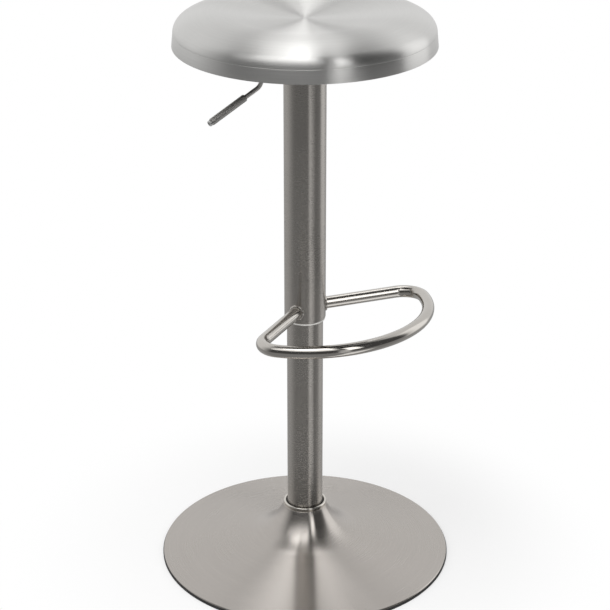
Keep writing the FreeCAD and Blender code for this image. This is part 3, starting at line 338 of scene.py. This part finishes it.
class Outline:
    """A pen that draws an outline in the XZ plane, to be spun round the post."""

    def __init__(self, radius, height):
        self.mesh = bmesh.new()
        self.tip = self.mesh.verts.new((radius, 0, height))

    def line(self, radius, height):
        drawn = bmesh.ops.extrude_vert_indiv(self.mesh, verts=[self.tip])
        self.tip = drawn["verts"][0]
        self.tip.co = (radius, 0, height)
        return self

    def arc(self, radius, height, degrees, steps):
        """An arc about a centre, anticlockwise seen with X to the right and Z up."""
        drawn = bmesh.ops.spin(
            self.mesh, geom=[self.tip], cent=(radius, 0, height), axis=(0, -1, 0), dvec=(0, 0, 0),
            angle=math.radians(degrees), steps=steps, use_merge=False, use_duplicate=False,
        )
        self.tip = drawn["geom_last"][0]
        return self

    def bend(self, radius, height, bend_radius, steps):
        """An arc to a point, with its centre on the left of the way where bend_radius is positive."""
        start = self.tip.co
        across = radius - start.x
        up = height - start.z
        chord = math.hypot(across, up)
        reach = math.sqrt(bend_radius * bend_radius - chord * chord / 4) / chord
        side = math.copysign(1, bend_radius)
        centre_x = start.x + across / 2 - side * up * reach
        centre_z = start.z + up / 2 + side * across * reach
        turn = side * 2 * math.degrees(math.asin(chord / 2 / abs(bend_radius)))
        return self.arc(centre_x, centre_z, turn, steps)

    def spun(self):
        """The outline turned into a closed body of revolution."""
        mesh = self.mesh
        bmesh.ops.remove_doubles(mesh, verts=mesh.verts[:], dist=SAME_POINT)
        bmesh.ops.spin(
            mesh, geom=mesh.verts[:] + mesh.edges[:], cent=(0, 0, 0), axis=(0, 0, 1), dvec=(0, 0, 0),
            angle=math.radians(FULL_TURN), steps=SPIN_STEPS, use_merge=True, use_duplicate=False,
        )
        bmesh.ops.remove_doubles(mesh, verts=mesh.verts[:], dist=SAME_POINT)
        bmesh.ops.recalc_face_normals(mesh, faces=mesh.faces[:])
        return mesh


def new_object(mesh, name):
    """An object of the scene, made from a bmesh."""
    data = bpy.data.meshes.new(name)
    mesh.to_mesh(data)
    mesh.free()
    made = bpy.data.objects.new(name, data)
    bpy.context.scene.collection.objects.link(made)
    return made


def finish_piece(mesh, name, body, slot, replaced):
    """Turns a bmesh into a smooth piece that rides on a body and wears a slot's finish."""
    piece = new_object(mesh, name)
    piece.data.shade_smooth()
    piece.data.set_sharp_from_angle(angle=math.radians(SHARP_ANGLE))
    piece.data.materials.append(FINISHES[slot])
    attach(piece, body)
    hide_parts(replaced)


# seat

SEAT_WALL = 1.5 * MM
SEAT_DRAFT = 1.8 * MM
SEAT_EDGE = 18 * MM
SEAT_BROW = 82 * MM
SEAT_BROW_ANGLE = 30
SEAT_SHOULDER = 150 * MM
SEAT_DISH = 9.2 * MM
SEAT_FLAT = 3 * MM
CREASE = 0.2 * MM
CREASE_ANGLE = 2
HEM = 0.75 * MM

# facets along each curve of the seat's outline, outside and then underneath
BOWL_STEPS = 40
SHOULDER_STEPS = 14
BROW_STEPS = 24
EDGE_STEPS = 28
HEM_STEPS = 8
UNDER_EDGE_STEPS = 14
UNDER_BROW_STEPS = 10
UNDER_SHOULDER_STEPS = 6
UNDER_BOWL_STEPS = 20


def seat_dish():
    """The pressing: shallow bowl, sloping brow, rounded edge, a fine crease and the hemmed skirt."""
    low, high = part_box("seat_shell")
    rim = high.x
    crest = high.z
    foot = low.z
    head_radius = rim - SEAT_DRAFT
    edge_centre = head_radius - SEAT_EDGE
    crest_radius = edge_centre - (SEAT_BROW - SEAT_EDGE) * sine(SEAT_BROW_ANGLE)
    head = crest - SEAT_BROW + (SEAT_BROW - SEAT_EDGE) * cosine(SEAT_BROW_ANGLE)
    centre = crest - SEAT_DISH
    turn = math.degrees(2 * math.atan(SEAT_DISH / (crest_radius - SEAT_FLAT)))
    bowl = (crest_radius - SEAT_FLAT) / sine(turn) - SEAT_SHOULDER
    edge_angle = QUARTER_TURN - SEAT_BROW_ANGLE
    pen = Outline(0, centre)
    pen.line(SEAT_FLAT, centre)
    pen.arc(SEAT_FLAT, centre + bowl, turn, BOWL_STEPS)
    pen.arc(crest_radius, crest - SEAT_SHOULDER, -turn, SHOULDER_STEPS)
    pen.arc(crest_radius, crest - SEAT_BROW, -SEAT_BROW_ANGLE, BROW_STEPS)
    pen.arc(edge_centre, head, CREASE_ANGLE - edge_angle, EDGE_STEPS)
    pen.line(head_radius - CREASE, head)
    pen.line(head_radius, head - CREASE)
    pen.line(rim, foot + HEM)
    pen.arc(rim - HEM, foot + HEM, -HALF_TURN, HEM_STEPS)
    pen.line(head_radius - SEAT_WALL, head)
    pen.arc(edge_centre, head, edge_angle, UNDER_EDGE_STEPS)
    pen.arc(crest_radius, crest - SEAT_BROW, SEAT_BROW_ANGLE, UNDER_BROW_STEPS)
    pen.arc(crest_radius, crest - SEAT_SHOULDER, turn, UNDER_SHOULDER_STEPS)
    pen.arc(SEAT_FLAT, centre + bowl, -turn, UNDER_BOWL_STEPS)
    pen.line(0, centre - SEAT_WALL)
    finish_piece(pen.spun(), "seat_dish", "lift", "seat_steel", "seat_shell")


# base

BASE_WALL = 1.5 * MM
NECK_SWEEP = 68 * MM
NECK_SPREAD = 80 * MM
NECK_FOOT = 31.5 * MM
RIM_HEIGHT = 6 * MM
RIM_ROLL = 2 * MM
COLLAR_STEP = 0.6 * MM
MOUTH_STEPS = 10
NECK_STEPS = 40
ROLL_STEPS = 10
RIM_STEPS = 8
UNDER_NECK_STEPS = 24


def base_trumpet():
    """The spun base: rounded mouth, trumpet neck, sloping skirt and a rolled rim."""
    low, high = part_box("base_shell")
    rim = high.x
    mouth = high.z
    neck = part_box("collar_ring")[1].x + COLLAR_STEP
    edge = BASE_WALL / 2
    rim_run = rim - RIM_ROLL
    fall = (NECK_FOOT - RIM_HEIGHT) / (rim_run - NECK_SPREAD)
    lean = math.degrees(math.atan(fall))
    inner_spread = NECK_SPREAD - BASE_WALL * sine(lean)
    inner_foot = NECK_FOOT - BASE_WALL * cosine(lean)
    inner_rim = rim - BASE_WALL
    inner_height = inner_foot - (inner_rim - inner_spread) * fall
    pen = Outline(neck - BASE_WALL, mouth - edge)
    pen.arc(neck - edge, mouth - edge, -HALF_TURN, MOUTH_STEPS)
    pen.bend(NECK_SPREAD, NECK_FOOT, NECK_SWEEP, NECK_STEPS)
    pen.line(rim_run, RIM_HEIGHT)
    pen.arc(rim_run, RIM_HEIGHT - RIM_ROLL, -QUARTER_TURN, ROLL_STEPS)
    pen.line(rim, low.z + edge)
    pen.arc(rim - edge, low.z + edge, -HALF_TURN, RIM_STEPS)
    pen.line(inner_rim, inner_height)
    pen.line(inner_spread, inner_foot)
    pen.bend(neck - BASE_WALL, mouth - edge, -(NECK_SWEEP + BASE_WALL), UNDER_NECK_STEPS)
    finish_piece(pen.spun(), "base_trumpet", "base", "base_steel", "base_shell")


# footrest

BAR_RADIUS = 8.4 * MM
BAR_REACH = 177.2 * MM
BAR_FRONT_RADIUS = 150.6 * MM
BAR_CORNER_RADIUS = 30.4 * MM
BAR_ARM_ANGLE = 65.5
BAR_TILT = 4
BAR_RISE = 16.1 * MM
BAR_SINK = 0.8 * MM
BAR_SIDES = 40
FRONT_STEPS = 48
CORNER_STEPS = 24

# weld bead: its section, how far it sits off the bar, and how its ripples and lumps vary
BEAD_RADIUS = 1.9 * MM
BEAD_SIT = 0.5 * MM
BEAD_SIDES = 12
BEAD_STEPS = 114
BEAD_RIPPLES = 19
RIPPLE_HEIGHT = 0.20
RIPPLE_WANDER = 3
WANDER_SCALE = 90
LUMP_HEIGHT = 0.35
LUMP_SCALE = 260

# directions in the bar's own flat plane: along the +X arm, and square to it towards the front
OUTWARD = Vector((sine(BAR_ARM_ANGLE), -cosine(BAR_ARM_ANGLE), 0))
FORWARD = Vector((-cosine(BAR_ARM_ANGLE), -sine(BAR_ARM_ANGLE), 0))
TILT = Matrix.Rotation(math.radians(-BAR_TILT), 3, "X")


def footrest_centre():
    """Where the tilted plane of the bar crosses the post's centre line."""
    return Vector((0, 0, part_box("sleeve")[0].z + BAR_RISE))


def laid_on_sleeve(point, outward, sink=0.0):
    """The point slid along the arm until it lies on the sleeve, or that much under its surface."""
    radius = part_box("sleeve")[1].x - sink
    way = outward.xy
    start = point.xy
    along = start.dot(way)
    run = math.sqrt(along * along - way.dot(way) * (start.dot(start) - radius * radius)) - along
    return point + outward * (run / way.dot(way))


def footrest_bar():
    """One bent round bar: half of it drawn flat from the front to the sleeve, mirrored, tilted."""
    front_centre = Vector((0, BAR_FRONT_RADIUS - BAR_REACH, 0))
    off = FORWARD * BAR_CORNER_RADIUS - front_centre
    gap = BAR_FRONT_RADIUS - BAR_CORNER_RADIUS
    along = -off.dot(OUTWARD)
    run = along + math.sqrt(along * along - off.dot(off) + gap * gap)
    corner_centre = FORWARD * BAR_CORNER_RADIUS + OUTWARD * run
    towards = corner_centre - front_centre
    front_turn = QUARTER_TURN + math.degrees(math.atan2(towards.y, towards.x))
    corner_turn = QUARTER_TURN + BAR_ARM_ANGLE - front_turn
    mesh = bmesh.new()
    section = bmesh.ops.create_circle(mesh, cap_ends=False, segments=BAR_SIDES, radius=BAR_RADIUS)
    bmesh.ops.rotate(mesh, verts=section["verts"], cent=(0, 0, 0),
                     matrix=Matrix.Rotation(math.radians(QUARTER_TURN), 3, "Y"))
    bmesh.ops.translate(mesh, verts=section["verts"], vec=(0, -BAR_REACH, 0))
    edges = mesh.edges[:]
    bends = ((front_centre, front_turn, FRONT_STEPS), (corner_centre, corner_turn, CORNER_STEPS))
    for centre, turn, steps in bends:
        drawn = bmesh.ops.spin(mesh, geom=edges, cent=centre, axis=(0, 0, 1), dvec=(0, 0, 0),
                               angle=math.radians(turn), steps=steps, use_merge=False,
                               use_duplicate=False)
        edges = [item for item in drawn["geom_last"] if isinstance(item, bmesh.types.BMEdge)]
    arm = bmesh.ops.extrude_edge_only(mesh, edges=edges)
    ends = [item for item in arm["geom"] if isinstance(item, bmesh.types.BMVert)]
    bmesh.ops.translate(mesh, verts=ends, vec=-OUTWARD * run)
    bmesh.ops.rotate(mesh, verts=mesh.verts[:], cent=(0, 0, 0), matrix=TILT)
    bmesh.ops.translate(mesh, verts=mesh.verts[:], vec=footrest_centre())
    for vertex in ends:
        vertex.co = laid_on_sleeve(vertex.co, TILT @ OUTWARD, BAR_SINK)
    bmesh.ops.mirror(mesh, geom=mesh.verts[:] + mesh.edges[:] + mesh.faces[:], axis="X",
                     merge_dist=SAME_SEAM)
    bmesh.ops.recalc_face_normals(mesh, faces=mesh.faces[:])
    finish_piece(mesh, "footrest_bar", "lift", "bar_steel", "footrest")


def weld_beads():
    """A lumpy ring of weld round each arm, drawn as a ring round the arm and laid on the sleeve."""
    outward = TILT @ OUTWARD
    forward = TILT @ FORWARD
    upward = TILT @ Vector((0, 0, 1))
    centre = footrest_centre()
    ring_radius = BAR_RADIUS + BEAD_SIT
    mesh = bmesh.new()
    section = bmesh.ops.create_circle(mesh, cap_ends=False, segments=BEAD_SIDES,
                                      radius=BEAD_RADIUS)
    bmesh.ops.rotate(mesh, verts=section["verts"], cent=(0, 0, 0),
                     matrix=forward.to_track_quat("Z", "Y").to_matrix())
    bmesh.ops.translate(mesh, verts=section["verts"], vec=centre + upward * ring_radius)
    bmesh.ops.spin(mesh, geom=mesh.verts[:] + mesh.edges[:], cent=centre, axis=outward,
                   dvec=(0, 0, 0), angle=math.radians(FULL_TURN), steps=BEAD_STEPS, use_merge=True,
                   use_duplicate=False)
    for vertex in mesh.verts:
        off = vertex.co - centre
        turn = math.atan2(off.dot(upward), off.dot(forward))
        wander = RIPPLE_WANDER * noise.noise(off * WANDER_SCALE)
        ripple = (1 + math.cos(turn * BEAD_RIPPLES + wander)) / 2
        lump = 1 + RIPPLE_HEIGHT * ripple + LUMP_HEIGHT * noise.noise(off * LUMP_SCALE)
        ring = (forward * math.cos(turn) + upward * math.sin(turn)) * ring_radius
        vertex.co = laid_on_sleeve(centre + ring, outward) + (off - ring) * lump
    bmesh.ops.mirror(mesh, geom=mesh.verts[:] + mesh.edges[:] + mesh.faces[:], axis="X",
                     merge_dist=0)
    bmesh.ops.recalc_face_normals(mesh, faces=mesh.faces[:])
    finish_piece(mesh, "weld_beads", "lift", "bar_steel", "footrest_welds")


# studio

WORLD_LIGHT = 0.75
FLOOR_RADIUS = 0.46
FLOOR_WHITE = 0.95
SHADOW_SHARE = 0.55
SHADOW_START = 0.5
SHADOW_END = 0.98
ROOM_RADIUS = 6.0

# light levels of the room's walls, of its dark front and of its lower half
WALL_LEVEL = 0.86
DARK_LEVEL = 0.08
CEILING_SHARE = 0.35
GROUND_FRONT = 0.28
GROUND_BACK = 0.42
HORIZON_FOOT = -12
HORIZON_HEAD = 2

# lamp: size, power and place as the camera sees it
LAMP_SIZE = 1.6
LAMP_POWER = 22
LAMP_FORWARD = 0.8
LAMP_LEFT = 0.7
LAMP_HEIGHT = 2.4
LAMP_AIM_HEIGHT = 0.35

# soft boxes: start and stop turn, foot and head, softness of the edges, level
SOFT_BOXES = (
    (-74, 19, 42, 120, 3, 1.2),
    (-74, 19, 62, 120, 3, 1.7),
    (28, 41, 20, 60, 2.5, 2.3),
    (19, 30, -12, 32, 2.5, 0.55),
    (92, 128, -14, 44, 4, 0.45),
    (30, 58, -120, -26, 5, 0.9),
)
BACK_BOX = (152, 200, 58, 120, 4, 2.0)


def background_rays(shading):
    """1 for rays that show the white background: straight from the camera, mirrored or let through."""
    path = shading.add("ShaderNodeLightPath").outputs
    shown = shading.sum("MAXIMUM", path["Is Camera Ray"], path["Is Glossy Ray"])
    return shading.sum("MAXIMUM", shown, path["Is Transmission Ray"])


def grey(level):
    return (level, level, level, 1)


def white_world():
    """Plain light for matt surfaces, white where the background shows."""
    world = bpy.data.worlds.new("studio")
    world.use_nodes = True
    bpy.context.scene.world = world
    shading = Shading(world.node_tree)
    lighting = shading.add("ShaderNodeBackground", {"Color": grey(1), "Strength": WORLD_LIGHT})
    backdrop = shading.add("ShaderNodeBackground", {"Color": grey(1), "Strength": 1.0})
    mixed = shading.add("ShaderNodeMixShader", {0: background_rays(shading), 1: lighting.outputs[0],
                                                2: backdrop.outputs[0]})
    output = shading.add("ShaderNodeOutputWorld")
    shading.tree.links.new(mixed.outputs[0], output.inputs["Surface"])


def floor_disc():
    """A white floor that keeps the stool's shadow, and is clear from below."""
    mesh = bmesh.new()
    bmesh.ops.create_circle(mesh, cap_ends=True, segments=96, radius=FLOOR_RADIUS)
    floor = new_object(mesh, "floor")
    floor.visible_glossy = False
    finish = bpy.data.materials.new("floor_white")
    finish.use_nodes = True
    shading = Shading(finish.node_tree)
    reach = shading.vector("LENGTH", object_place(shading))
    shadow_share = shading.spread(reach, FLOOR_RADIUS * SHADOW_START, FLOOR_RADIUS * SHADOW_END,
                                  SHADOW_SHARE, 0.0)
    cloth = shading.add("ShaderNodeBsdfDiffuse", {"Color": grey(FLOOR_WHITE)})
    glow = shading.add("ShaderNodeEmission", {"Color": grey(1), "Strength": 1.0})
    lit = shading.add("ShaderNodeMixShader", {0: shadow_share, 1: glow.outputs[0], 2: cloth.outputs[0]})
    seen = shading.add("ShaderNodeMixShader", {0: background_rays(shading), 1: cloth.outputs[0],
                                               2: lit.outputs[0]})
    clear = shading.add("ShaderNodeBsdfTransparent")
    below = shading.add("ShaderNodeNewGeometry").outputs["Backfacing"]
    final = shading.add("ShaderNodeMixShader", {0: below, 1: seen.outputs[0], 2: clear.outputs[0]})
    output = shading.add("ShaderNodeOutputMaterial")
    shading.tree.links.new(final.outputs[0], output.inputs["Surface"])
    floor.data.materials.append(finish)


def soft_box(shading, turn, up, box):
    """A lit patch of the room, between two turns and between its foot and its head."""
    start, stop, foot, head, soft, level = box
    shape = shading.sum("MULTIPLY", shading.band(turn, start, stop, soft),
                        shading.band(up, foot, head, soft))
    return shading.sum("MULTIPLY", shape, level)


def room_level(shading):
    """How bright the room is in each direction: turns count from the camera, to its right positive."""
    towards = shading.vector("NORMALIZE", object_place(shading))
    front = shading.vector("DOT_PRODUCT", towards, TOWARDS_CAMERA)
    right = shading.vector("DOT_PRODUCT", towards, CAMERA_RIGHT)
    around = shading.sum("DEGREES", shading.sum("ARCTAN2", right, front))
    up = shading.sum("DEGREES", shading.sum("ARCSINE", shading.parts(towards)["Z"]))
    side = shading.sum("ABSOLUTE", around)
    left_wall = shading.spread(around, -115, -50, WALL_LEVEL, DARK_LEVEL)
    right_wall = shading.spread(around, 82, 108, DARK_LEVEL, WALL_LEVEL)
    walls = shading.sum("MULTIPLY", shading.sum("MAXIMUM", left_wall, right_wall),
                        shading.spread(up, 50, 70, 1.0, CEILING_SHARE))
    ground = shading.spread(side, 60, 120, GROUND_FRONT, GROUND_BACK)
    above = shading.spread(up, HORIZON_FOOT, HORIZON_HEAD, 0.0, 1.0)
    below = shading.spread(up, HORIZON_FOOT, HORIZON_HEAD, 1.0, 0.0)
    level = shading.sum("ADD", shading.sum("MULTIPLY", walls, above),
                        shading.sum("MULTIPLY", ground, below))
    for box in SOFT_BOXES:
        level = shading.sum("ADD", level, soft_box(shading, around, up, box))
    return shading.sum("ADD", level, soft_box(shading, side, up, BACK_BOX))


def reflected_room():
    """The studio that the steel mirrors: bright walls behind the stool, dark in front, soft boxes."""
    mesh = bmesh.new()
    bmesh.ops.create_uvsphere(mesh, u_segments=96, v_segments=48, radius=ROOM_RADIUS)
    bmesh.ops.reverse_faces(mesh, faces=mesh.faces[:])
    room = new_object(mesh, "room")
    room.visible_camera = False
    room.visible_diffuse = False
    room.visible_shadow = False
    room.visible_volume_scatter = False
    room.visible_transmission = False
    finish = bpy.data.materials.new("room_light")
    finish.use_nodes = True
    finish.cycles.emission_sampling = "NONE"
    shading = Shading(finish.node_tree)
    glow = shading.add("ShaderNodeEmission", {"Color": grey(1), "Strength": room_level(shading)})
    output = shading.add("ShaderNodeOutputMaterial")
    shading.tree.links.new(glow.outputs[0], output.inputs["Surface"])
    room.data.materials.append(finish)


def lamps():
    """One large soft lamp above the camera's left, for the shadow and for matt surfaces."""
    lamp = bpy.data.lights.new("top_lamp", "AREA")
    lamp.shape = "DISK"
    lamp.size = LAMP_SIZE
    lamp.energy = LAMP_POWER
    lamp_object = bpy.data.objects.new("top_lamp", lamp)
    beside = TOWARDS_CAMERA * LAMP_FORWARD - CAMERA_RIGHT * LAMP_LEFT
    lamp_object.location = beside + Vector((0, 0, LAMP_HEIGHT))
    aim = Vector((0, 0, LAMP_AIM_HEIGHT)) - lamp_object.location
    lamp_object.rotation_euler = aim.to_track_quat("-Z", "Y").to_euler()
    lamp_object.visible_glossy = False
    bpy.context.scene.collection.objects.link(lamp_object)


def camera():
    data = bpy.data.cameras.new("camera")
    data.lens = CAMERA_LENS
    data.sensor_width = SENSOR_WIDTH
    eye = bpy.data.objects.new("camera", data)
    eye.location = TOWARDS_CAMERA * CAMERA_DISTANCE + Vector((0, 0, CAMERA_HEIGHT))
    eye.rotation_euler = [math.radians(angle) for angle in (CAMERA_TILT, 0, CAMERA_AZIMUTH)]
    bpy.context.scene.collection.objects.link(eye)
    bpy.context.scene.camera = eye


bpy.context.scene.view_settings.view_transform = "Standard"
camera()
white_world()
floor_disc()
reflected_room()
lamps()
dress_nodes()
seat_dish()
base_trumpet()
footrest_bar()
weld_beads()
